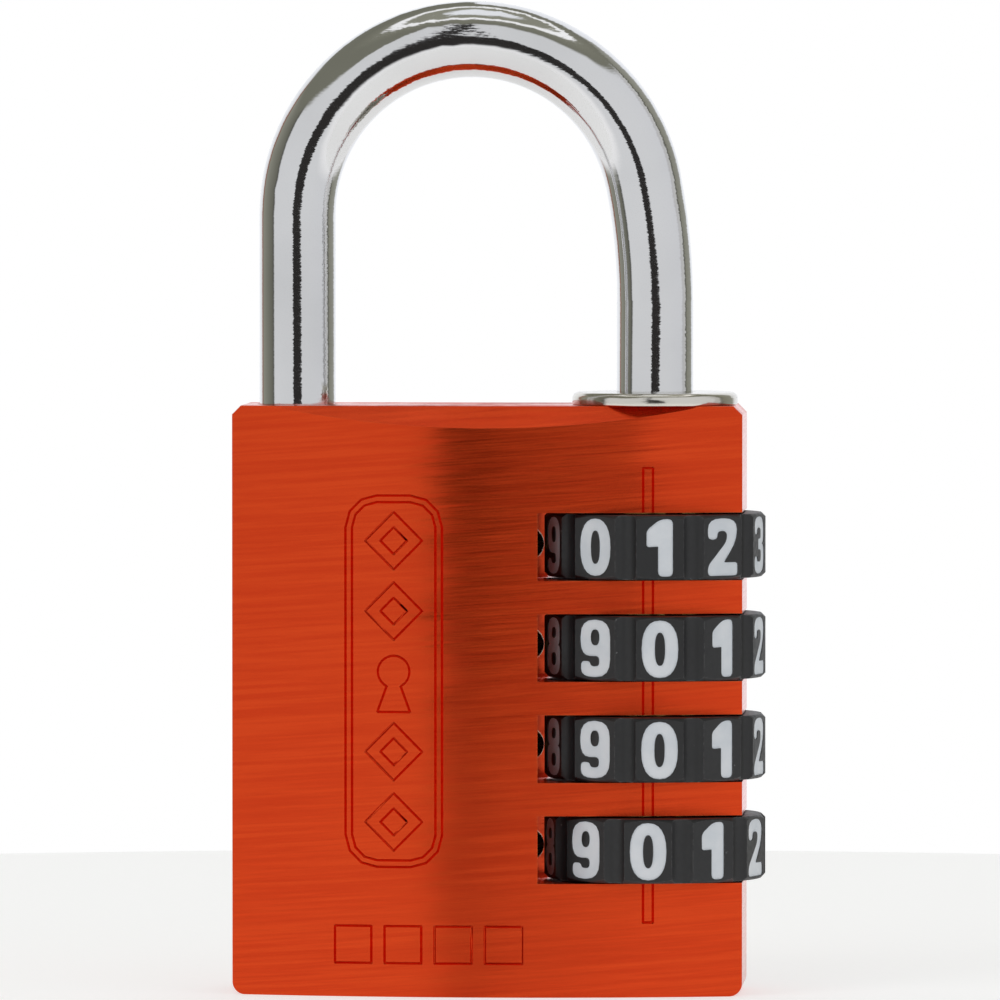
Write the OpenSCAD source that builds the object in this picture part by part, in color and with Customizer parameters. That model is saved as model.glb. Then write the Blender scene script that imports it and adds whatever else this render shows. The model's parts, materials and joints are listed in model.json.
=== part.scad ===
// Four-dial combination padlock with a long hardened shackle.
// Millimetres. The origin is the centre of the bottom face, +Z points up the shackle,
// the front faces -Y and the dials stand out on the +X side.
// The lock opens on the numerals that stand on the index line.

/* [Body] */
// Width of the body, side to side
body_w = 40; // [39.5:0.1:41]
// Height of the body, bottom to flat top
body_h = 46.2; // [45:0.1:47]
// Thickness of the body at its middle, where the crowned faces stand furthest out
body_t = 14.5; // [14:0.1:16]
// Crown radius of the front and back faces
face_r = 80; // [70:1:120]
// Depth of the engraved lines
engrave_d = 0.14; // [0.1:0.02:0.2]

/* [Shackle] */
// Diameter of the shackle rod
rod_d = 6; // [5.8:0.1:6]
// Distance between the two leg axes
leg_gap = 28.15; // [27.5:0.05:28.5]
// Height of the straight short leg above the body
leg_rise = 14.95; // [8:0.05:40]
// Depth of the short leg inside the body when locked
toe_depth = 7; // [5:0.1:7.2]

/* [Dials] */
// Distance of the dial and shackle axis from the middle of the body
axis_x = 12.95; // [12.7:0.05:13.1]
// Height of the lowest dial's middle
first_dial_z = 11.55; // [11.3:0.05:12]
// Radius at the edges of the ten lands
dial_r = 8.7; // [8.6:0.05:8.9]
// Height of a dial
dial_h = 5; // [4.7:0.05:5.1]
// Numerals on the index line, top dial to bottom dial
shown = [1, 0, 0, 0]; // [0:1:9]
// Angle by which each dial rests past its click, top dial to bottom dial
rest_turn = [5.3, 5.3, 5.1, -0.9]; // [-6:0.1:6]

/* [Numerals] */
// Height of a numeral
numeral_h = 4.48; // [4:0.02:4.6]
// Depth of the moulded pocket that holds a numeral
pocket_d = 0.28; // [0.2:0.02:0.4]
// Depth of the paint's surface below the land
paint_drop = 0.07; // [0.02:0.01:0.15]

/* [Hidden] */
$fn = 96;
small_fn = 48;
crown_fn = 360;
over = 0.5;                     // how far a cutter runs past what it cuts
clear = 0.02;                   // between parts that all but touch
dial_count = 4;
lands = 10;
step = 360 / lands;
pitch = 7.9;                    // from one dial to the next, and the shackle's lift
rod_r = rod_d / 2;
toe_x = axis_x - leg_gap;
face_y = face_r - body_t / 2;   // centre of the crown of the back-to-front face

// Body
slot_h = 5.3;
slot_r = 11.37;                 // round end wall of the dial slots
long_bore_r = 4.9;
toe_bore_r = rod_r + 0.15;
toe_bore_d = toe_depth + 0.5;
top_half = 5.4;                 // half depth of the flat top
top_drop = 1.7;                 // how far the sloped top facets come down at the middle
bottom_round = 1;
top_cut = 0.7;

// Engraving on the front face: V-shaped lines laid out on the unrolled crown
vee_open = 0.75;                // half width of a line for each millimetre of its depth
vee_up = 0.15;                  // how far a line's cutter stands above the face
line_on = engrave_d * vee_open / 2; // how far a line runs past a corner, to fill it
corner_n = 3;                   // straight lines in a rounded corner
index_w = 0.77;                 // between the two lines of the index mark
index_s = axis_x - 0.2;         // its place, along the unrolled face
index_z = [5.87, 41.41];
panel_s = -7.18;
panel_z = 24.71;
panel_w = 7.64;
panel_h = 29.06;
panel_round = 2.5;
panel_gap = 0.52;               // between the two lines of the frame
mark_pitch = 5.5;
mark_out = 2.25;                // half diagonals of a diamond's two outlines
mark_in = 1.05;
hole_r = 1.25;                  // keyhole
hole_up = 0.75;
hole_half = [0.55, 1.3];        // half widths of its stem
hole_foot = -2.4;
square_w = 2.9;
square_pitch = 3.95;
square_z = 4.1;
square_s = -10.4;

// Dials
land_half = 12.4;               // half angle of a land
land_flat = dial_r * cos(land_half);
flute_half = step / 2 - land_half;
flute_deep = 0.42;
flute_w = dial_r * sin(flute_half);
flute_r = (flute_w * flute_w + flute_deep * flute_deep) / (2 * flute_deep);
flute_at = dial_r * cos(flute_half) - flute_deep + flute_r;
dial_edge = 0.3;
dial_bore_r = 4.95;
ring_bore_r = 4.3;
ring_h = 1.1;
notch_r = 4.92;                 // reach of the driving ring's notches
notch_w = 1.5;

// Clutch sleeves
sleeve_half = pitch / 2 - clear;
sleeve_r = 4.2;
sleeve_bore_r = rod_r + 0.15;
collar_r = 4.8;
collar_z = 2.6;
tooth_r = 4.75;
tooth_w = 1.2;
tooth_z = 0.05;
tooth_h = 1;
web_z = 2.5;
web_h = 1.3;
web_r = 2.35;
gate_half = 36;                 // half angle of the gate that lets a lug pass

// Shackle: the long leg leans in a little before it meets the bow
bow_lean = 0.67;
bow_r = (leg_gap - bow_lean) / 2;
arch_z = body_h + leg_rise;     // centre of the bow
bend_rise = 6.75;               // from the start of the lean to the centre of the bow
bend_turn = 2 * atan(bow_lean / bend_rise);
bend_r = bow_r + bend_rise / sin(bend_turn);
bend_grip = 0.3;                // angle by which the lean runs into the leg and the bow
toe_bevel = 0.8;
core_r = 2.2;
core_top = 40;
core_tip = 4.2;
core_shoulder = 0.6;
tip_bevel = 0.4;
lug_half = 28;
lug_z = -0.4;
lug_h = 1.6;
ring_groove_r = 1.8;
ring_t = 0.8;
ring_z = first_dial_z + web_z - clear - pitch - ring_t; // meets the lowest web when lifted

// Bush, plug, washer and springs
flange_r = 6.5;
flange_h = 1;
flange_round = 0.5;
bush_foot = 39.6;
bush_bore_r = rod_r + 0.1;
plug_h = 1.8;
plug_bevel = 0.2;
washer_h = 0.6;
washer_z = first_dial_z - sleeve_half - clear - washer_h;
washer_in = 3.25;
washer_out = 4.75;
reset_wire = 0.6;
reset_mean_r = 4;
reset_turns = 4;

// Detents
plunger_r = 1.2;
plunger_len = 5;
dome_r = 1.4;
plunger_tip = axis_x - dial_r - clear;
detent_bore_r = 1.25;
detent_wire = 0.3;
detent_mean_r = 0.85;
detent_len = 4.2;
detent_turns = 6;
detent_spare = 0.5;             // room behind each spring for the plunger's travel
detent_end = plunger_tip - plunger_len - detent_len - detent_spare;

// Colours
orange = [0.86, 0.27, 0.06];
nickel = [0.78, 0.77, 0.74];
steel = [0.62, 0.63, 0.65];
brass = [0.72, 0.53, 0.22];
charcoal = [0.13, 0.13, 0.14];
paint = [0.86, 0.9, 0.95];

// Height of dial n, counted from 1 at the top
function dial_z(n) = first_dial_z + pitch * (dial_count - n);

// ---- numerals: closed outlines, drawn 4.48 high, whose corners are [x, y, softening] ----

drawn_h = 4.48;
oval_n = 24;
oval_full = 0.85;               // below 1, an oval has fuller sides than an ellipse

// Corner i of an outline softened by a short curve that leaves and joins its sides
function soft_corner(c, i, k = 4) =
    let (
        n = len(c),
        at = [c[i].x, c[i].y],
        before = [c[(i + n - 1) % n].x, c[(i + n - 1) % n].y],
        after = [c[(i + 1) % n].x, c[(i + 1) % n].y],
        in_len = min(c[i].z, norm(before - at) / 2),
        out_len = min(c[i].z, norm(after - at) / 2),
        a = at + (before - at) / norm(before - at) * in_len,
        b = at + (after - at) / norm(after - at) * out_len
    )
    [for (j = [0 : k]) let (s = j / k) (1 - s) * (1 - s) * a + 2 * s * (1 - s) * at + s * s * b];

function soft_loop(c) = [for (i = [0 : len(c) - 1]) each soft_corner(c, i)];

// An upright oval with full sides
function oval(rx, ry, at = [0, 0]) =
    [
        for (i = [0 : oval_n - 1])
            let (a = i * 360 / oval_n, c = cos(a), s = sin(a))
            at + [rx * sign(c) * pow(abs(c), oval_full), ry * sign(s) * pow(abs(s), oval_full)]
    ];

glyph_one = [soft_loop([
    [1.0, 2.24, 0.4], [0.0, 2.24, 0.5], [-1.05, 1.35, 0.3], [-1.05, 0.05, 0.25],
    [-0.15, 0.1, 0.05], [-0.15, -2.24, 0.4], [1.0, -2.24, 0.4]
])];

glyph_two = [soft_loop([
    [-1.5, 0.6, 0.45], [-1.5, 2.24, 1.3], [1.45, 2.24, 1.3], [1.45, 0.5, 1.0],
    [0.15, -1.2, 0.15], [1.5, -1.2, 0.3], [1.5, -2.24, 0.3], [-1.5, -2.24, 0.4],
    [-1.5, -1.45, 0.4], [0.4, 0.45, 0.5], [0.4, 1.25, 0.4], [-0.5, 1.25, 0.4], [-0.5, 0.6, 0.45]
])];

glyph_three = [soft_loop([
    [-1.4, 0.85, 0.4], [-1.4, 2.24, 1.2], [1.4, 2.24, 1.2], [1.4, 0.2, 0.75],
    [0.95, 0.1, 0.05], [1.45, -0.05, 0.7], [1.45, -2.24, 1.3], [-1.45, -2.24, 1.3],
    [-1.45, -0.85, 0.4], [-0.5, -0.85, 0.4], [-0.45, -1.3, 0.35], [0.4, -1.3, 0.4],
    [0.4, -0.35, 0.3], [-0.35, -0.35, 0.2], [-0.35, 0.5, 0.2], [0.35, 0.5, 0.3],
    [0.35, 1.35, 0.35], [-0.4, 1.35, 0.35], [-0.45, 0.85, 0.35]
])];

glyph_four = [
    soft_loop([
        [1.05, 2.24, 0.3], [-0.1, 2.24, 0.3], [-1.55, -0.45, 0.2], [-1.55, -1.45, 0.3],
        [0.05, -1.45, 0.05], [0.05, -2.24, 0.35], [1.05, -2.24, 0.35], [1.05, -1.45, 0.05],
        [1.55, -1.45, 0.3], [1.55, -0.5, 0.3], [1.05, -0.5, 0.05]
    ]),
    soft_loop([[0.1, -0.5, 0.08], [-0.65, -0.5, 0.08], [0.1, 0.85, 0.08]])
];

glyph_five = [soft_loop([
    [1.3, 2.24, 0.3], [-1.2, 2.24, 0.3], [-1.4, -0.25, 0.25], [-0.5, -0.3, 0.3],
    [0.45, 0.15, 0.4], [0.45, -1.3, 0.4], [-0.45, -1.3, 0.3], [-0.55, -0.85, 0.35],
    [-1.45, -0.85, 0.4], [-1.45, -2.24, 1.3], [1.45, -2.24, 1.3], [1.45, 0.85, 1.2],
    [-0.35, 0.6, 0.2], [-0.3, 1.3, 0.05], [1.3, 1.3, 0.3]
])];

glyph_six = [
    soft_loop([
        [-1.4, -2.24, 1.3], [1.4, -2.24, 1.3], [1.4, 0.6, 1.2], [-0.35, 0.6, 0.35],
        [-0.35, 1.4, 0.35], [0.4, 1.4, 0.3], [0.5, 1.0, 0.3], [1.35, 1.0, 0.35],
        [1.35, 2.24, 1.1], [-1.4, 2.24, 1.4]
    ]),
    oval(0.38, 0.62, [0.02, -0.86])
];

glyph_seven = [soft_loop([
    [-1.45, 2.24, 0.3], [1.45, 2.24, 0.3], [1.45, 1.3, 0.5], [0.2, -2.24, 0.45],
    [-0.95, -2.24, 0.35], [0.3, 1.2, 0.15], [-1.45, 1.2, 0.3]
])];

glyph_eight = [
    soft_loop([
        [-1.35, 2.24, 1.2], [1.35, 2.24, 1.2], [1.35, 0.25, 0.6], [1.0, 0.13, 0.1],
        [1.45, 0.0, 0.6], [1.45, -2.24, 1.3], [-1.45, -2.24, 1.3], [-1.45, 0.0, 0.6],
        [-1.0, 0.13, 0.1], [-1.35, 0.25, 0.6]
    ]),
    oval(0.36, 0.42, [0, 1.06]),
    oval(0.4, 0.5, [0, -0.99])
];

glyph_nine = [
    [for (p = glyph_six[0]) -p],
    [for (p = glyph_six[1]) -p]
];

glyph_zero = [oval(1.43, 2.24), oval(0.4, 1.3)];

glyphs = [
    glyph_zero, glyph_one, glyph_two, glyph_three, glyph_four,
    glyph_five, glyph_six, glyph_seven, glyph_eight, glyph_nine
];

module glyph(d) {
    scale(numeral_h / drawn_h)
        difference() {
            polygon(glyphs[d][0]);
            for (i = [1 : 1 : len(glyphs[d]) - 1])
                polygon(glyphs[d][i]);
        }
}

// The ten numerals of dial n as prisms from depth `low` to depth `high` under the lands
module numeral_prisms(n, low, high) {
    for (d = [0 : lands - 1])
        rotate([0, 0, -90 + step * (d - shown[n - 1]) + rest_turn[n - 1]])
            translate([land_flat - low, 0, 0])
                rotate([90, 0, 90])
                    linear_extrude(low - high)
                        glyph(d);
}

// ---- shared shapes ----

// Tube about Z that stands on z = 0
module tube(r_out, r_in, h) {
    difference() {
        cylinder(r = r_out, h = h);
        translate([0, 0, -over])
            cylinder(r = r_in, h = h + 2 * over);
    }
}

// Part of a ring about Z, centred on the -X direction
module sector(r_out, r_in, h, half) {
    rotate([0, 0, 180 - half])
        rotate_extrude(angle = 2 * half)
            translate([r_in, 0])
                square([r_out - r_in, h]);
}

// Wire coil about Z from z = 0 to z = h, swept as rings of `sides` points
module coil(mean_r, wire_r, h, turns, per_turn, sides) {
    rings = turns * per_turn;
    rise = (h - 2 * wire_r) / rings;
    points = [
        for (i = [0 : rings])
            for (j = [0 : sides - 1])
                let (a = i * 360 / per_turn, b = j * 360 / sides)
                [
                    (mean_r + wire_r * cos(b)) * cos(a),
                    (mean_r + wire_r * cos(b)) * sin(a),
                    wire_r + i * rise + wire_r * sin(b)
                ]
    ];
    skin = [
        for (i = [0 : rings - 1])
            for (j = [0 : sides - 1])
                let (a = i * sides + j, b = i * sides + (j + 1) % sides)
                each [[a, b + sides, b], [a, a + sides, b + sides]]
    ];
    first = [for (j = [0 : sides - 1]) j];
    last = [for (j = [sides - 1 : -1 : 0]) rings * sides + j];
    polyhedron(points = points, faces = concat(skin, [first], [last]), convexity = 10);
}

// ---- body ----

// Slab with crowned front and back faces
module crowned_slab() {
    intersection() {
        translate([-body_w / 2, -body_t / 2, 0])
            cube([body_w, body_t, body_h]);
        translate([0, face_y, 0])
            cylinder(r = face_r, h = body_h, $fn = crown_fn);
        translate([0, -face_y, 0])
            cylinder(r = face_r, h = body_h, $fn = crown_fn);
    }
}

// Cuts one lower corner of the front view to a round
module bottom_corner_cut() {
    difference() {
        translate([-over, -body_t, -over])
            cube([bottom_round + over, 2 * body_t, bottom_round + over]);
        translate([bottom_round, body_t + over, bottom_round])
            rotate([90, 0, 0])
                cylinder(r = bottom_round, h = 2 * body_t + 2 * over);
    }
}

// Sloped facet along the front of the top face
module top_facet_cut() {
    slope = (body_t / 2 - top_half) / top_drop;
    reach = 3 * top_drop;
    out = top_half + slope * reach;
    translate([body_w, 0, 0])
        rotate([90, 0, -90])
            linear_extrude(2 * body_w)
                polygon([
                    [top_half, body_h], [out, body_h - reach],
                    [out, body_h + over], [top_half, body_h + over]
                ]);
}

// Cuts one upper corner of the front view to a small bevel
module top_corner_cut() {
    translate([0, body_t, body_h])
        rotate([90, 45, 0])
            translate([-top_cut / sqrt(2), -top_cut / sqrt(2), 0])
                cube([top_cut * sqrt(2), top_cut * sqrt(2), 2 * body_t]);
}

// Places its children on the front face, `s` along the unrolled crown and `z` up: +X points
// out of the face, +Y along it towards the dials
module on_face(s, z) {
    translate([0, face_y, z])
        rotate([0, 0, s / face_r * 180 / PI - 90])
            translate([face_r, 0, 0])
                children();
}

// Cross-section of a line: depth along X, width along Y
module vee() {
    half = (engrave_d + vee_up) * vee_open;
    polygon([[-engrave_d, 0], [vee_up, half], [vee_up, -half]]);
}

// Upright line
module line_up(s, z1, z2) {
    on_face(s, z1)
        linear_extrude(z2 - z1)
            vee();
}

// Level line, which follows the crown
module line_level(s1, s2, z) {
    translate([0, face_y, z])
        rotate([0, 0, s1 / face_r * 180 / PI - 90])
            rotate_extrude(angle = (s2 - s1) / face_r * 180 / PI)
                translate([face_r, 0])
                    vee();
}

// Straight line between two points, run on a little so that lines meet in full corners
module line_slant(a, b) {
    reach = norm(b - a) + 2 * line_on;
    on_face((a.x + b.x) / 2, (a.y + b.y) / 2)
        rotate([-atan2(b.x - a.x, b.y - a.y), 0, 0])
            translate([0, 0, -reach / 2])
                linear_extrude(reach)
                    vee();
}

// Part of a round line about [s, z], turned from straight down towards the dials
module line_bend(s, z, r, turn, sweep) {
    on_face(s, z)
        rotate([0, 90, 0])
            rotate([0, 0, turn])
                rotate_extrude(angle = sweep)
                    translate([r, 0])
                        rotate(90)
                            vee();
}

// Quarter turn about [s, z] in short straight lines
module line_corner(s, z, r, turn) {
    for (k = [0 : corner_n - 1]) {
        a = turn + 90 * k / corner_n;
        b = a + 90 / corner_n;
        line_slant([s + r * cos(a), z + r * sin(a)], [s + r * cos(b), z + r * sin(b)]);
    }
}

// Frame about [s, z] with rounded corners, or with square ones where r is 0
module line_frame(s, z, w, h, r = 0) {
    for (side = [-1, 1]) {
        line_up(s + side * w / 2, z - h / 2 + r - line_on, z + h / 2 - r + line_on);
        line_level(s - w / 2 + r - line_on, s + w / 2 - r + line_on, z + side * h / 2);
    }
    if (r > 0)
        for (i = [0 : 3]) {
            across = i == 0 || i == 3 ? 1 : -1;
            up = i < 2 ? 1 : -1;
            line_corner(s + across * (w / 2 - r), z + up * (h / 2 - r), r, 90 * i);
        }
}

// Diamond outline about [s, z]
module line_diamond(s, z, half) {
    corners = [[s, z - half], [s + half, z], [s, z + half], [s - half, z]];
    for (i = [0 : 3])
        line_slant(corners[i], corners[(i + 1) % 4]);
}

// Keyhole outline about [s, z]
module line_keyhole(s, z) {
    neck = asin(hole_half[0] / hole_r);
    top = z + hole_up - hole_r * cos(neck);
    line_bend(s, z + hole_up, hole_r, neck, 360 - 2 * neck);
    for (side = [-1, 1])
        line_slant([s + side * hole_half[0], top], [s + side * hole_half[1], z + hole_foot]);
    line_level(s - hole_half[1], s + hole_half[1], z + hole_foot);
}

// Everything that is engraved on the front face
module front_marks() {
    line_frame(index_s, (index_z[0] + index_z[1]) / 2, index_w, index_z[1] - index_z[0]);
    for (inset = [0, panel_gap])
        line_frame(
            panel_s, panel_z, panel_w - 2 * inset, panel_h - 2 * inset, panel_round - inset
        );
    for (i = [-2, -1, 1, 2])
        for (half = [mark_out, mark_in])
            line_diamond(panel_s, panel_z + i * mark_pitch, half);
    line_keyhole(panel_s, panel_z);
    for (i = [0 : 3])
        line_frame(square_s + i * square_pitch, square_z, square_w, square_w);
}

module lock_body() {
    color(orange)
        difference() {
            crowned_slab();
            // corners and top facets
            for (side = [0, 1])
                mirror([side, 0, 0])
                    translate([-body_w / 2, 0, 0]) {
                        bottom_corner_cut();
                        top_corner_cut();
                    }
            for (side = [0, 1])
                mirror([0, side, 0])
                    top_facet_cut();
            // bores for the two legs
            translate([axis_x, 0, -over])
                cylinder(r = long_bore_r, h = body_h + 2 * over);
            translate([toe_x, 0, body_h - toe_bore_d])
                cylinder(r = toe_bore_r, h = toe_bore_d + over);
            // dial slots and the detent bores behind them
            for (n = [1 : dial_count]) {
                translate([axis_x, 0, dial_z(n) - slot_h / 2]) {
                    cylinder(r = slot_r, h = slot_h);
                    translate([0, -body_t, 0])
                        cube([body_w, 2 * body_t, slot_h]);
                }
                translate([detent_end, 0, dial_z(n)])
                    rotate([0, 90, 0])
                        cylinder(r = detent_bore_r, h = axis_x - detent_end, $fn = small_fn);
            }
            front_marks();
        }
}

// ---- shackle ----

// Long leg below its full-size stretch, as a turned profile
module long_leg_core() {
    rotate_extrude()
        polygon([
            [0, core_tip], [core_r - tip_bevel, core_tip], [core_r, core_tip + tip_bevel],
            [core_r, ring_z], [ring_groove_r, ring_z],
            [ring_groove_r, ring_z + ring_t], [core_r, ring_z + ring_t],
            [core_r, core_top], [rod_r, core_top + core_shoulder], [0, core_top + core_shoulder]
        ]);
}

// Part of a bend of a rod in the XZ plane, turned from the +X direction
module rod_bend(r, turn, sweep, thick = rod_r) {
    rotate([90, 0, 0])
        rotate([0, 0, turn])
            rotate_extrude(angle = sweep)
                translate([r, 0])
                    circle(thick);
}

module shackle() {
    full_z = core_top + core_shoulder;
    bend_z = arch_z - bend_rise;
    toe_z = body_h - toe_depth;
    color(nickel)
        union() {
            translate([axis_x, 0, 0])
                long_leg_core();
            translate([axis_x, 0, full_z])
                cylinder(r = rod_r, h = bend_z - full_z);
            translate([axis_x - bend_r, 0, bend_z])
                rod_bend(bend_r, -bend_grip, bend_turn + 2 * bend_grip, rod_r - clear);
            // the bow starts where the lean ends
            translate([toe_x + bow_r, 0, arch_z])
                difference() {
                    rod_bend(bow_r, 0, 180);
                    rotate([0, -bend_turn, 0])
                        translate([0, -bow_r, -2 * bow_r])
                            cube(2 * bow_r);
                }
            translate([toe_x, 0, 0])
                rotate_extrude()
                    polygon([
                        [0, toe_z], [rod_r - toe_bevel, toe_z], [rod_r, toe_z + toe_bevel],
                        [rod_r, arch_z], [0, arch_z]
                    ]);
            for (n = [1 : dial_count])
                translate([axis_x, 0, dial_z(n) + lug_z])
                    sector(rod_r, core_r - over, lug_h, lug_half);
        }
}

module retaining_ring() {
    color(steel)
        translate([axis_x, 0, ring_z])
            rotate([0, 0, 30])
                rotate_extrude(angle = 300)
                    translate([ring_groove_r, 0])
                        square([rod_r - ring_groove_r, ring_t]);
}

// ---- fittings of the long bore ----

module flanged_bush() {
    color(nickel)
        translate([axis_x, 0, 0])
            rotate_extrude()
                difference() {
                    union() {
                        translate([bush_bore_r, bush_foot])
                            square([long_bore_r - bush_bore_r, body_h - bush_foot + over]);
                        translate([bush_bore_r, body_h])
                            square([flange_r - bush_bore_r, flange_h]);
                    }
                    // rounded rim
                    translate([flange_r - flange_round, body_h + flange_h - flange_round])
                        difference() {
                            square(flange_round + over);
                            circle(flange_round, $fn = small_fn);
                        }
                }
}

module bottom_plug() {
    color(steel)
        translate([axis_x, 0, 0])
            rotate_extrude()
                polygon([
                    [0, 0], [long_bore_r - plug_bevel, 0], [long_bore_r, plug_bevel],
                    [long_bore_r, plug_h], [0, plug_h]
                ]);
}

module thrust_washer() {
    color(steel)
        translate([axis_x, 0, washer_z])
            tube(washer_out, washer_in, washer_h);
}

module reset_spring() {
    color(steel)
        translate([axis_x, 0, plug_h])
            coil(reset_mean_r, reset_wire / 2, washer_z - plug_h, reset_turns, 24, 8);
}

// ---- dials ----

module number_dial(n) {
    color(charcoal)
        translate([axis_x, 0, dial_z(n)])
            difference() {
                rotate([0, 0, rest_turn[n - 1]])
                    dial_ring();
                numeral_prisms(n, pocket_d, -over);
            }
}

// Dial with ten flat lands, ten flutes between them and a notched driving ring inside
module dial_ring() {
    difference() {
        intersection() {
            rotate([0, 0, 90 - step / 2])
                translate([0, 0, -dial_h / 2])
                    cylinder(r = land_flat / cos(step / 2), h = dial_h, $fn = 10);
            rotate_extrude()
                polygon([
                    [0, -dial_h / 2], [dial_r - dial_edge, -dial_h / 2],
                    [dial_r + over, over - dial_h / 2 + dial_edge],
                    [dial_r + over, dial_h / 2 - dial_edge - over],
                    [dial_r - dial_edge, dial_h / 2], [0, dial_h / 2]
                ]);
        }
        for (i = [0 : lands - 1])
            rotate([0, 0, step * i])
                translate([flute_at, 0, -dial_h])
                    cylinder(r = flute_r, h = 2 * dial_h, $fn = small_fn);
        translate([0, 0, ring_h])
            cylinder(r = dial_bore_r, h = dial_h);
        translate([0, 0, -dial_h])
            cylinder(r = dial_bore_r, h = dial_h);
        translate([0, 0, -over])
            cylinder(r = ring_bore_r, h = ring_h + 2 * over);
        for (i = [0 : lands - 1])
            rotate([0, 0, step * i])
                translate([ring_bore_r - over, -notch_w / 2, -over])
                    cube([notch_r - ring_bore_r + over, notch_w, ring_h + 2 * over]);
    }
}

module numerals(n) {
    color(paint)
        translate([axis_x, 0, dial_z(n)])
            numeral_prisms(n, pocket_d, paint_drop);
}

module clutch_sleeve(n) {
    color(brass)
        translate([axis_x, 0, dial_z(n)])
            rotate([0, 0, rest_turn[n - 1]])
                difference() {
                    union() {
                        translate([0, 0, -sleeve_half])
                            cylinder(r = sleeve_r, h = 2 * sleeve_half);
                        translate([0, 0, collar_z])
                            cylinder(r = collar_r, h = sleeve_half - collar_z);
                        for (i = [0 : lands - 1])
                            rotate([0, 0, step * i])
                                translate([sleeve_r - over, -tooth_w / 2, tooth_z])
                                    cube([tooth_r - sleeve_r + over, tooth_w, tooth_h]);
                    }
                    translate([0, 0, -sleeve_half - over])
                        cylinder(r = sleeve_bore_r, h = sleeve_half + web_z + over);
                    translate([0, 0, web_z + web_h])
                        cylinder(r = sleeve_bore_r, h = sleeve_half);
                    translate([0, 0, web_z - over])
                        cylinder(r = web_r, h = web_h + 2 * over);
                    translate([0, 0, web_z - over])
                        sector(sleeve_bore_r, web_r - over, web_h + 2 * over, gate_half);
                }
}

// ---- detents ----

module detent_plunger(n) {
    shoulder = dome_r - sqrt(dome_r * dome_r - plunger_r * plunger_r);
    color(brass)
        translate([plunger_tip, 0, dial_z(n)])
            rotate([0, -90, 0])
                intersection() {
                    cylinder(r = plunger_r, h = plunger_len, $fn = small_fn);
                    union() {
                        translate([0, 0, dome_r])
                            sphere(r = dome_r);
                        translate([0, 0, shoulder])
                            cylinder(r = 2 * plunger_r, h = plunger_len);
                    }
                }
}

module detent_spring(n) {
    color(steel)
        translate([plunger_tip - plunger_len, 0, dial_z(n)])
            rotate([0, -90, 0])
                coil(detent_mean_r, detent_wire / 2, detent_len, detent_turns, 14, 6);
}

lock_body();
shackle();
flanged_bush();
bottom_plug();
retaining_ring();
thrust_washer();
reset_spring();
number_dial(1);  // number_dial_1
number_dial(2);  // number_dial_2
number_dial(3);  // number_dial_3
number_dial(4);  // number_dial_4
numerals(1);  // numerals_1
numerals(2);  // numerals_2
numerals(3);  // numerals_3
numerals(4);  // numerals_4
clutch_sleeve(1);  // clutch_sleeve_1
clutch_sleeve(2);  // clutch_sleeve_2
clutch_sleeve(3);  // clutch_sleeve_3
clutch_sleeve(4);  // clutch_sleeve_4
detent_plunger(1);  // detent_plunger_1
detent_plunger(2);  // detent_plunger_2
detent_plunger(3);  // detent_plunger_3
detent_plunger(4);  // detent_plunger_4
detent_spring(1);  // detent_spring_1
detent_spring(2);  // detent_spring_2
detent_spring(3);  // detent_spring_3
detent_spring(4);  // detent_spring_4
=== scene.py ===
import json
import math

import bmesh
import bpy
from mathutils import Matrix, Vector


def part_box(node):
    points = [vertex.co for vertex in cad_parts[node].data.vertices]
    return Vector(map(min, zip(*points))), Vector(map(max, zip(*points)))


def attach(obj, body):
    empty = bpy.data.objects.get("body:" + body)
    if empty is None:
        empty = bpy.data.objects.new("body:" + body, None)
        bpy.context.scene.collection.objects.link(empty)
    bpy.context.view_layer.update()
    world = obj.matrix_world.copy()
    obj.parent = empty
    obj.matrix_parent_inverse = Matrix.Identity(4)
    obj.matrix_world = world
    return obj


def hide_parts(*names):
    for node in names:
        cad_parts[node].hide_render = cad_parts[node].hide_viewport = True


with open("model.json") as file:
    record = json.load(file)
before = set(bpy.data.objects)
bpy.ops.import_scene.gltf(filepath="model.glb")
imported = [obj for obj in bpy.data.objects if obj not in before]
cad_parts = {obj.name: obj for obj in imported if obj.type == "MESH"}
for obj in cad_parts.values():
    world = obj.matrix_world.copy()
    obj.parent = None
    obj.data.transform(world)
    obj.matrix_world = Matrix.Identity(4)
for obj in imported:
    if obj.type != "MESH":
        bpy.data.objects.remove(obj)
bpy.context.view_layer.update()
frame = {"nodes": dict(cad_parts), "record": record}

MM = 0.001
nodes = frame["nodes"]
scene = bpy.context.scene

DIALS = (1, 2, 3, 4)

# The viewing direction that the object is shown from, in degrees, and its framing
VIEW_AZIMUTH = 3.4
VIEW_ELEVATION = 2.0
VIEW_DISTANCE = 0.9
VIEW_TARGET = Vector((0.75, 0.0, 38.665)) * MM
VIEW_WIDTH = 78.655 * MM

# The body's shape, as the CAD has it, and what tells its faces apart
CROWN_R = 80.0 * MM
CROWN_AT = CROWN_R - 7.25 * MM
GROOVE_DEPTH = 0.16 * MM
CORNER_LOW = 1.05 * MM
CORNER_HIGH = 0.8 * MM
SIDE_BAND = 1.01 * MM
BODY_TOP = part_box("lock_body")[1].z
BODY_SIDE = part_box("lock_body")[1].x
OUTER_EDGE = 0.13 * MM
NEAR = 0.02 * MM

# Clean-up of the CAD's triangles
WELD = 0.0005 * MM
FLAT_BODY = math.radians(0.25)
FLAT_NODE = math.radians(0.3)
SHARP_BODY = math.radians(20)
SHARP_NODE = math.radians(30)


# ---- node graph helpers ----

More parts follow.
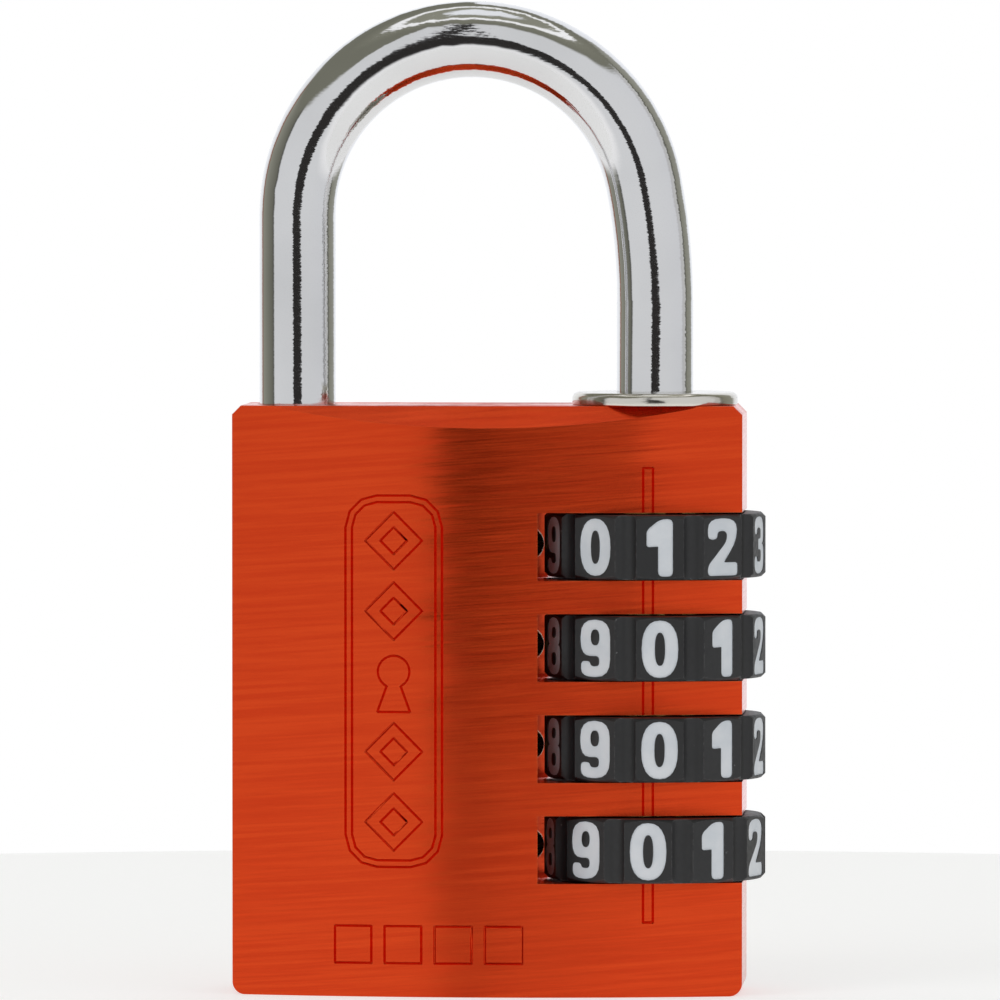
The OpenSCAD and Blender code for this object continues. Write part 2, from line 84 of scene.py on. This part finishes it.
class Graph:
    """A small wrapper that makes a node graph short to write."""

    def __init__(self, tree):
        self.tree = tree
        self.tree.nodes.clear()

    def add(self, kind, **settings):
        node = self.tree.nodes.new(kind)
        for key, value in settings.items():
            setattr(node, key, value)
        return node

    def join(self, a, b):
        self.tree.links.new(a, b)

    def fill(self, socket, value):
        if hasattr(value, "links"):
            self.join(value, socket)
        else:
            socket.default_value = value

    def ramp(self, value, low, high, to_low=0.0, to_high=1.0, smooth=True):
        node = self.add("ShaderNodeMapRange")
        if smooth:
            node.interpolation_type = "SMOOTHSTEP"
        self.fill(node.inputs["Value"], value)
        self.fill(node.inputs["From Min"], low)
        self.fill(node.inputs["From Max"], high)
        self.fill(node.inputs["To Min"], to_low)
        self.fill(node.inputs["To Max"], to_high)
        return node.outputs["Result"]

    def maths(self, operation, a, b=0.0):
        node = self.add("ShaderNodeMath", operation=operation)
        self.fill(node.inputs[0], a)
        self.fill(node.inputs[1], b)
        return node.outputs[0]

    def bands(self, value, stops):
        """A colour for each value, from (value, colour) stops."""
        low, high = stops[0][0], stops[-1][0]
        node = self.add("ShaderNodeValToRGB")
        self.join(self.ramp(value, float(low), float(high), smooth=False), node.inputs[0])
        marks = node.color_ramp.elements
        while len(marks) < len(stops):
            marks.new(0.5)
        for i, (place, _) in enumerate(stops):
            marks[i].position = (place - low) / (high - low)
        for i, (_, colour) in enumerate(stops):
            marks[i].color = (*colour, 1)
        return node.outputs["Color"]

    def mix(self, factor, a, b):
        node = self.add("ShaderNodeMix", data_type="RGBA")
        self.fill(node.inputs[0], factor)
        self.fill(node.inputs[6], a if hasattr(a, "links") else (*a, 1))
        self.fill(node.inputs[7], b if hasattr(b, "links") else (*b, 1))
        return node.outputs[2]


class Surface(Graph):
    """The graph of one material, with a Principled shader at its end."""

    def __init__(self, name):
        self.material = bpy.data.materials.new(name)
        self.material.use_nodes = True
        super().__init__(self.material.node_tree)
        self.shader = self.add("ShaderNodeBsdfPrincipled")
        output = self.add("ShaderNodeOutputMaterial")
        self.join(self.shader.outputs[0], output.inputs["Surface"])
        self.place = self.add("ShaderNodeTexCoord").outputs["Object"]

    def stretched(self, scale, turn=(0, 0, 0)):
        """Object coordinates turned, in degrees, and then multiplied by scale, per metre."""
        turned = self.add("ShaderNodeMapping")
        self.join(self.place, turned.inputs["Vector"])
        turned.inputs["Rotation"].default_value = [math.radians(t) for t in turn]
        scaled = self.add("ShaderNodeMapping")
        self.join(turned.outputs[0], scaled.inputs["Vector"])
        scaled.inputs["Scale"].default_value = scale
        return scaled.outputs[0]

    def noise(self, scale, detail=3.0, rough=0.5, turn=(0, 0, 0)):
        node = self.add("ShaderNodeTexNoise")
        self.join(self.stretched(scale, turn), node.inputs["Vector"])
        node.inputs["Scale"].default_value = 1.0
        node.inputs["Detail"].default_value = detail
        node.inputs["Roughness"].default_value = rough
        return node.outputs["Fac"]

    def leaning(self, amount):
        """The surface's normal, tipped level by level along X and Y by that amount."""
        tip = self.add("ShaderNodeCombineXYZ")
        self.join(amount, tip.inputs[0])
        self.join(amount, tip.inputs[1])
        total = self.add("ShaderNodeVectorMath", operation="ADD")
        self.join(self.add("ShaderNodeNewGeometry").outputs["Normal"], total.inputs[0])
        self.join(tip.outputs[0], total.inputs[1])
        unit = self.add("ShaderNodeVectorMath", operation="NORMALIZE")
        self.join(total.outputs[0], unit.inputs[0])
        return unit.outputs[0]

    def bump(self, height, distance, before=None):
        """Surface relief of that height field, distance in metres."""
        node = self.add("ShaderNodeBump")
        node.inputs["Strength"].default_value = 1.0
        node.inputs["Distance"].default_value = distance
        self.join(height, node.inputs["Height"])
        if before is not None:
            self.join(before, node.inputs["Normal"])
        self.join(node.outputs[0], self.shader.inputs["Normal"])

    def edges(self, radius):
        """Near 0 on flat stretches and near 1 along an edge."""
        bevel = self.add("ShaderNodeBevel", samples=4)
        bevel.inputs["Radius"].default_value = radius
        geometry = self.add("ShaderNodeNewGeometry")
        dot = self.add("ShaderNodeVectorMath", operation="DOT_PRODUCT")
        self.join(bevel.outputs[0], dot.inputs[0])
        self.join(geometry.outputs["Normal"], dot.inputs[1])
        return self.maths("SUBTRACT", 1.0, dot.outputs["Value"])

    def set(self, **values):
        for name, value in values.items():
            self.fill(self.shader.inputs[name.replace("_", " ")], value)


# ---- materials ----

def anodised_orange():
    """Brushed aluminium under a clear orange oxide layer, with level brush lines."""
    s = Surface("anodised_orange")
    slant = (0, 4, 0)
    fine = s.noise((160, 160, 9000), 4, 0.6, slant)
    streak = s.noise((75, 75, 3200), 5, 0.7, slant)
    drift = s.noise((70, 70, 520), 3, 0.5, slant)
    marks = s.ramp(streak, 0.36, 0.66)
    colour = s.mix(marks, (0.70, 0.056, 0.0135), (0.78, 0.073, 0.0165))
    # Lighter orange along the edges where the fine noise is high: partly edge wear, partly a
    # painted highlight.
    paler_edges = s.maths("MULTIPLY", s.ramp(s.edges(0.12 * MM), 0.02, 0.3), s.ramp(fine, 0.45, 0.6))
    colour = s.mix(s.maths("MULTIPLY", paler_edges, 0.5), colour, (0.92, 0.30, 0.10))
    s.set(Base_Color=colour, Metallic=1.0)
    s.set(Roughness=s.ramp(fine, 0.3, 0.7, 0.20, 0.27))
    s.set(Anisotropic=0.95, Anisotropic_Rotation=0.25)
    tangent = s.add("ShaderNodeTangent", direction_type="RADIAL", axis="Z")
    s.join(tangent.outputs[0], s.shader.inputs["Tangent"])
    sway = s.maths("ADD", s.maths("MULTIPLY", drift, 0.6), s.maths("MULTIPLY", streak, 0.8))
    tipped = s.leaning(s.ramp(sway, 0.35, 1.05, -0.034, 0.034, smooth=False))
    s.bump(fine, 0.0012 * MM, tipped)
    return s.material


def groove_painted_shade():
    """Painted shade for the bottom of an engraved line: dark red, dull and uneven."""
    s = Surface("groove_painted_shade")
    patch = s.noise((900, 900, 900), 4, 0.6)
    colour = s.mix(s.ramp(patch, 0.3, 0.7), (0.018, 0.0020, 0.0012), (0.045, 0.0045, 0.0022))
    s.set(Base_Color=colour, Roughness=s.ramp(patch, 0.3, 0.7, 0.5, 0.7), IOR=1.4)
    s.bump(patch, 0.01 * MM)
    return s.material


def polished_plating(name, tint, rough_low, rough_high, relief, sway):
    """Bright plating with faint polishing lines across it and a little orange peel."""
    s = Surface(name)
    peel = s.noise((900, 900, 500), 3, 0.5)
    lines = s.noise((1500, 1500, 9000), 4, 0.65)
    stain = s.noise((60, 60, 60), 4, 0.55)
    darker = [0.88 * c for c in tint]
    s.set(Base_Color=s.mix(s.ramp(stain, 0.35, 0.75), tint, darker), Metallic=1.0)
    s.set(Roughness=s.ramp(lines, 0.3, 0.75, rough_low, rough_high))
    tipped = s.leaning(s.ramp(lines, 0.25, 0.75, -sway, sway, smooth=False))
    s.bump(s.maths("ADD", peel, s.maths("MULTIPLY", lines, 0.4)), relief * MM, tipped)
    return s.material


def moulded_charcoal():
    """Satin charcoal plastic with a fine moulded grain, dust specks and paler rubbed edges."""
    s = Surface("moulded_charcoal")
    grain = s.noise((2600, 2600, 2600), 4, 0.6)
    cloud = s.noise((240, 240, 240), 3, 0.5)
    specks = s.ramp(s.noise((1500, 1500, 1500), 2, 0.5), 0.74, 0.80)
    paler_edges = s.ramp(s.edges(0.14 * MM), 0.03, 0.25)
    chips = s.ramp(s.noise((3200, 3200, 3200), 3, 0.6), 0.42, 0.62)
    colour = s.mix(cloud, (0.010, 0.010, 0.011), (0.018, 0.018, 0.019))
    colour = s.mix(s.maths("MULTIPLY", paler_edges, chips), colour, (0.13, 0.13, 0.135))
    colour = s.mix(s.maths("MULTIPLY", specks, 0.5), colour, (0.28, 0.28, 0.29))
    s.set(Base_Color=colour, IOR=1.5)
    s.set(Roughness=s.ramp(grain, 0.25, 0.75, 0.38, 0.54))
    s.bump(grain, 0.006 * MM)
    return s.material


def numeral_paint():
    """Pale, faintly blue paint, a little uneven and slightly greyer in patches, with a painted
    highlight along its edges.
    """
    s = Surface("numeral_paint")
    cloud = s.noise((420, 420, 420), 4, 0.55)
    grain = s.noise((3000, 3000, 3000), 3, 0.6)
    # Painted highlight: the paint turns paler and bluer along its edges.
    painted_rim_highlight = s.ramp(s.edges(0.2 * MM), 0.0, 0.3)
    colour = s.mix(s.ramp(cloud, 0.3, 0.7), (0.66, 0.70, 0.745), (0.75, 0.775, 0.81))
    colour = s.mix(painted_rim_highlight, colour, (0.76, 0.83, 0.90))
    s.set(Base_Color=colour, Roughness=s.ramp(grain, 0.3, 0.7, 0.42, 0.6), IOR=1.48)
    s.bump(s.maths("ADD", cloud, s.maths("MULTIPLY", grain, 0.3)), 0.02 * MM)
    return s.material


def turned_metal(name, tint, rough):
    """Machined metal with fine tool rings and a few darker patches."""
    s = Surface(name)
    rings = s.noise((500, 500, 6000), 4, 0.6)
    patch = s.noise((300, 300, 300), 4, 0.6)
    darker = [0.62 * c for c in tint]
    s.set(Base_Color=s.mix(s.ramp(patch, 0.35, 0.72), tint, darker), Metallic=1.0)
    s.set(Roughness=s.ramp(rings, 0.3, 0.7, rough - 0.08, rough + 0.1))
    s.bump(rings, 0.004 * MM)
    return s.material


def studio_floor():
    """Pale matt paper with a barely visible tooth, lit from below so that it stays white."""
    s = Surface("studio_floor")
    tooth = s.noise((900, 900, 900), 3, 0.5)
    s.set(Base_Color=s.mix(tooth, (0.56, 0.56, 0.56), (0.60, 0.60, 0.60)), Roughness=0.9)
    s.set(Emission_Color=(1, 1, 1, 1), Emission_Strength=0.56)
    s.bump(tooth, 0.02 * MM)
    return s.material


def give(obj, *materials):
    obj.data.materials.clear()
    for material in materials:
        obj.data.materials.append(material)


# ---- body: the CAD's own faces, sorted by finish, with rounded edges and true crown shading ----

def crown_normal(point):
    """Outward direction of the crowned front or back face at that point."""
    centre = CROWN_AT if point.y < 0 else -CROWN_AT
    return Vector((point.x, point.y - centre, 0)).normalized()


def depth_under_crown(point):
    centre = CROWN_AT if point.y < 0 else -CROWN_AT
    return CROWN_R - math.hypot(point.x, point.y - centre)


def on_crown(face):
    level = all(abs(depth_under_crown(v.co)) < NEAR for v in face.verts)
    return level and face.normal.dot(crown_normal(face.calc_center_median())) > 0.999


def in_groove(face):
    if face.calc_center_median().y > 0 or on_crown(face):
        return False
    depths = [depth_under_crown(v.co) for v in face.verts]
    return max(depths) < GROOVE_DEPTH and min(depths) > -NEAR


def on_outside(face):
    """Whether the face is part of the anodised outside rather than of a slot or bore."""
    at = face.calc_center_median()
    turn = face.normal
    if on_crown(face) or (turn.z > 0.3 and abs(turn.y) > 0.3):
        return True
    if abs(turn.z) > 0.99 and (at.z < NEAR or at.z > BODY_TOP - NEAR):
        return True
    corner = at.z < CORNER_LOW or at.z > BODY_TOP - CORNER_HIGH
    return abs(at.x) > BODY_SIDE - SIDE_BAND and (corner or abs(turn.x) > 0.99)


FINISH_OUTSIDE, FINISH_LINE, FINISH_CUT = 0, 1, 2


def shade_body(shape):
    """Custom normals: the crown's own on the crowned faces, and even ones on edges and bores."""
    shape.faces.ensure_lookup_table()
    crowned = {f.index: on_crown(f) for f in shape.faces}
    areas = {f.index: f.calc_area() for f in shape.faces}
    shading = []
    for face in shape.faces:
        for loop in face.loops:
            at = loop.vert.co
            if crowned[face.index]:
                shading.append(crown_normal(at))
                continue
            near = [g for g in loop.vert.link_faces if g.normal.dot(face.normal) > 0.78]
            if face.material_index == FINISH_LINE:
                near = [face]
            total = Vector()
            for g in near:
                own = crown_normal(at) if crowned[g.index] else g.normal
                total += own * areas[g.index]
            shading.append(total.normalized())
    return shading


def body_piece(orange, line, bare):
    shape = bmesh.new()
    shape.from_mesh(nodes["lock_body"].data)
    bmesh.ops.remove_doubles(shape, verts=shape.verts, dist=WELD)
    bmesh.ops.dissolve_limit(shape, angle_limit=FLAT_BODY, verts=shape.verts, edges=shape.edges)
    shape.normal_update()
    for face in shape.faces:
        face.smooth = True
        face.material_index = FINISH_CUT
        # Faces at the bottom of an engraved line are meant to get the groove's painted shade.
        if in_groove(face):
            face.material_index = FINISH_LINE
        elif on_outside(face):
            face.material_index = FINISH_OUTSIDE
    sharp = []
    for edge in shape.edges:
        if len(edge.link_faces) != 2 or edge.calc_face_angle() < SHARP_BODY:
            continue
        if {f.material_index for f in edge.link_faces} == {FINISH_OUTSIDE}:
            sharp.append(edge)
    bmesh.ops.bevel(
        shape, geom=sharp, offset=OUTER_EDGE, offset_type="OFFSET",
        segments=2, profile=0.5, affect="EDGES", clamp_overlap=True, material=-1
    )
    shape.normal_update()
    shading = shade_body(shape)
    mesh = bpy.data.meshes.new("body_shell")
    shape.to_mesh(mesh)
    shape.free()
    mesh.normals_split_custom_set([tuple(n) for n in shading])
    body = bpy.data.objects.new("body_shell", mesh)
    scene.collection.objects.link(body)
    # Open fault: give() empties the slots first, which sets every face back to the first one. So
    # the engraved lines, meant to show painted shade, and the bare cut faces show as orange, and
    # line and bare on no face.
    give(body, orange, line, bare)
    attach(body, "housing")
    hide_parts("lock_body")


# ---- carried-over CAD nodes ----

def soften(obj, width):
    """Rounds the sharp edges of a CAD node by that many millimetres and evens its shading.

    With a width of 0, the node's own faces stay as they are and its sharp edges stay sharp.
    """
    weld = obj.modifiers.new("weld", "WELD")
    weld.merge_threshold = WELD
    if width:
        flat = obj.modifiers.new("flat", "DECIMATE")
        flat.decimate_type = "DISSOLVE"
        flat.angle_limit = FLAT_NODE
        bevel = obj.modifiers.new("bevel", "BEVEL")
        bevel.width = width * MM
        bevel.segments = 2
        bevel.limit_method = "ANGLE"
        bevel.angle_limit = SHARP_NODE
    else:
        split = obj.modifiers.new("split", "EDGE_SPLIT")
        split.split_angle = SHARP_NODE
        split.use_edge_sharp = False
    normals = obj.modifiers.new("normals", "WEIGHTED_NORMAL")
    normals.weight = 100
    obj.data.polygons.foreach_set("use_smooth", [True] * len(obj.data.polygons))


def dress_cad():
    """Every carried-over CAD node gets its material, and the bush, the bottom plug, the dials and
    the clutch sleeves get soft edges.
    """
    chrome = polished_plating("shackle_plating", (0.80, 0.80, 0.81), 0.04, 0.10, 0.0010, 0.035)
    nickel = polished_plating("bush_plating", (0.78, 0.75, 0.69), 0.10, 0.22, 0.0016, 0.03)
    charcoal = moulded_charcoal()
    paint = numeral_paint()
    brass = turned_metal("machined_brass", (0.70, 0.47, 0.17), 0.26)
    steel = turned_metal("plain_steel", (0.56, 0.57, 0.59), 0.32)
    looks = {"shackle": chrome, "bush": nickel, "dial": charcoal}
    looks.update({"numeral": paint, "brass": brass, "steel": steel})
    slots = {p["node"]: p["material_slot"] for p in frame["record"]["subparts"]}
    for name, obj in nodes.items():
        if name != "lock_body":
            give(obj, looks[slots[name]])
    soften(nodes["flanged_bush"], 0.1)
    soften(nodes["bottom_plug"], 0.08)
    for n in DIALS:
        soften(nodes[f"number_dial_{n}"], 0.09)
        soften(nodes[f"clutch_sleeve_{n}"], 0.08)


# ---- studio ----

FLOOR_R = 0.17
LIGHT_AIM = Vector((0, 0, 35.0)) * MM


def make_floor():
    """A round sheet of paper under the lock."""
    mesh = bpy.data.meshes.new("floor")
    sheet = bmesh.new()
    bmesh.ops.create_circle(sheet, cap_ends=True, segments=96, radius=FLOOR_R)
    sheet.to_mesh(mesh)
    sheet.free()
    floor = bpy.data.objects.new("floor", mesh)
    scene.collection.objects.link(floor)
    give(floor, studio_floor())


def direction(azimuth, elevation):
    """Unit vector towards a place round the object: azimuth 0 is in front, 90 is to the right."""
    a, e = math.radians(azimuth), math.radians(elevation)
    return Vector((math.sin(a) * math.cos(e), -math.cos(a) * math.cos(e), math.sin(e)))


def soft_box(name, azimuth, elevation, distance, size, power):
    """A square of soft light that no camera or gloss sees, aimed at the middle of the object."""
    light = bpy.data.lights.new(name, "AREA")
    light.shape = "RECTANGLE"
    light.size, light.size_y = size
    light.energy = power
    lamp = bpy.data.objects.new(name, light)
    lamp.visible_camera = False
    lamp.visible_glossy = False
    towards = direction(azimuth, elevation)
    lamp.location = LIGHT_AIM + towards * distance
    lamp.rotation_euler = towards.to_track_quat("Z", "Y").to_euler()
    scene.collection.objects.link(lamp)


# Light round the object by azimuth from the viewing direction, in degrees
WALLS = [
    (-180, (1.00, 1.02, 1.06)), (-146, (0.95, 0.97, 1.00)), (-136, (0.80, 0.80, 0.80)),
    (-133, (0.26, 0.10, 0.07)), (-129, (0.30, 0.16, 0.11)), (-126, (0.30, 0.30, 0.25)),
    (-82, (0.16, 0.16, 0.13)), (-77, (0.08, 0.08, 0.07)), (-73, (0.74, 0.75, 0.76)),
    (-30, (0.74, 0.75, 0.76)), (30, (0.74, 0.75, 0.76)), (88, (0.72, 0.73, 0.75)),
    (92, (0.55, 0.55, 0.56)), (103, (0.62, 0.62, 0.60)), (107, (0.06, 0.06, 0.05)),
    (112, (0.26, 0.26, 0.21)), (140, (0.34, 0.34, 0.30)), (147, (0.92, 0.94, 0.98)),
    (180, (1.00, 1.02, 1.06))
]
# Light overhead by elevation, and where it takes over from the walls on each side
ROOF_RIGHT, ROOF_LEFT = 47.0, 29.0
ROOF_TURN = (-38, -20)
ROOF_SOFT = 3
ROOF = [
    (25, (0.20, 0.20, 0.16)), (50, (0.20, 0.20, 0.16)), (61, (0.24, 0.24, 0.19)),
    (63, (1.10, 1.10, 1.10)), (67, (1.10, 1.10, 1.10)),
    (69, (0.30, 0.30, 0.24)), (77, (0.30, 0.30, 0.24)), (81, (0.95, 0.97, 1.00)),
    (90, (0.95, 0.97, 1.00))
]
# The dark gap in front: its sides by azimuth, and the elevations between which it narrows
GAP_LEFT = -12.5
GAP_RIGHT_LOW, GAP_RIGHT_HIGH = 12.0, -7.0
GAP_LOW, GAP_HIGH = -1.0, 9.0
GAP_SOFT = 0.7
GAP_COLOUR = (0.030, 0.028, 0.027)
# Below these elevations the light is as pale as the floor
BELOW = (-12, -20)
BELOW_COLOUR = (0.95, 0.95, 0.95)


def studio_world():
    """Pale walls of light with a dark gap in front that narrows upwards, under a banded roof."""
    world = bpy.data.worlds.new("studio")
    scene.world = world
    world.use_nodes = True
    g = Graph(world.node_tree)
    turn = g.add("ShaderNodeVectorRotate", rotation_type="Z_AXIS")
    g.join(g.add("ShaderNodeTexCoord").outputs["Generated"], turn.inputs["Vector"])
    turn.inputs["Angle"].default_value = math.radians(90 - VIEW_AZIMUTH)
    parts = g.add("ShaderNodeSeparateXYZ")
    g.join(turn.outputs[0], parts.inputs[0])
    level = g.maths("ARCTAN2", parts.outputs["Y"], parts.outputs["X"])
    azimuth = g.maths("DEGREES", level)
    elevation = g.maths("DEGREES", g.maths("ARCSINE", parts.outputs["Z"]))
    walls = g.bands(azimuth, WALLS)
    right = g.ramp(elevation, GAP_LOW, GAP_HIGH, GAP_RIGHT_LOW, GAP_RIGHT_HIGH, smooth=False)
    past_left = g.ramp(azimuth, GAP_LEFT - GAP_SOFT, GAP_LEFT + GAP_SOFT)
    short = g.maths("SUBTRACT", right, azimuth)
    inside = g.maths("MULTIPLY", past_left, g.ramp(short, -GAP_SOFT, GAP_SOFT))
    walls = g.mix(inside, walls, GAP_COLOUR)
    start = g.ramp(azimuth, *ROOF_TURN, ROOF_LEFT, ROOF_RIGHT)
    past_start = g.ramp(g.maths("SUBTRACT", elevation, start), -ROOF_SOFT, ROOF_SOFT)
    above = g.mix(past_start, walls, g.bands(elevation, ROOF))
    round_all = g.mix(g.ramp(elevation, *BELOW), above, BELOW_COLOUR)
    seen = g.add("ShaderNodeLightPath").outputs["Is Camera Ray"]
    shine = g.add("ShaderNodeBackground")
    g.join(g.mix(seen, round_all, (1, 1, 1)), shine.inputs["Color"])
    output = g.add("ShaderNodeOutputWorld")
    g.join(shine.outputs[0], output.inputs["Surface"])


def make_camera():
    data = bpy.data.cameras.new("camera")
    data.sensor_width = 36.0
    data.lens = data.sensor_width * VIEW_DISTANCE / VIEW_WIDTH
    data.clip_start = 0.05
    camera = bpy.data.objects.new("camera", data)
    towards = direction(VIEW_AZIMUTH, VIEW_ELEVATION)
    camera.location = VIEW_TARGET + towards * VIEW_DISTANCE
    camera.rotation_euler = towards.to_track_quat("Z", "Y").to_euler()
    scene.collection.objects.link(camera)
    scene.camera = camera


make_camera()
dress_cad()
body_piece(
    anodised_orange(), groove_painted_shade(), turned_metal("bare_aluminium", (0.78, 0.77, 0.78), 0.34)
)
soften(nodes["shackle"], 0)
make_floor()
studio_world()
soft_box("key_light", -40, 45, 0.7, (0.22, 0.22), 0.5)
scene.view_settings.view_transform = "Standard"
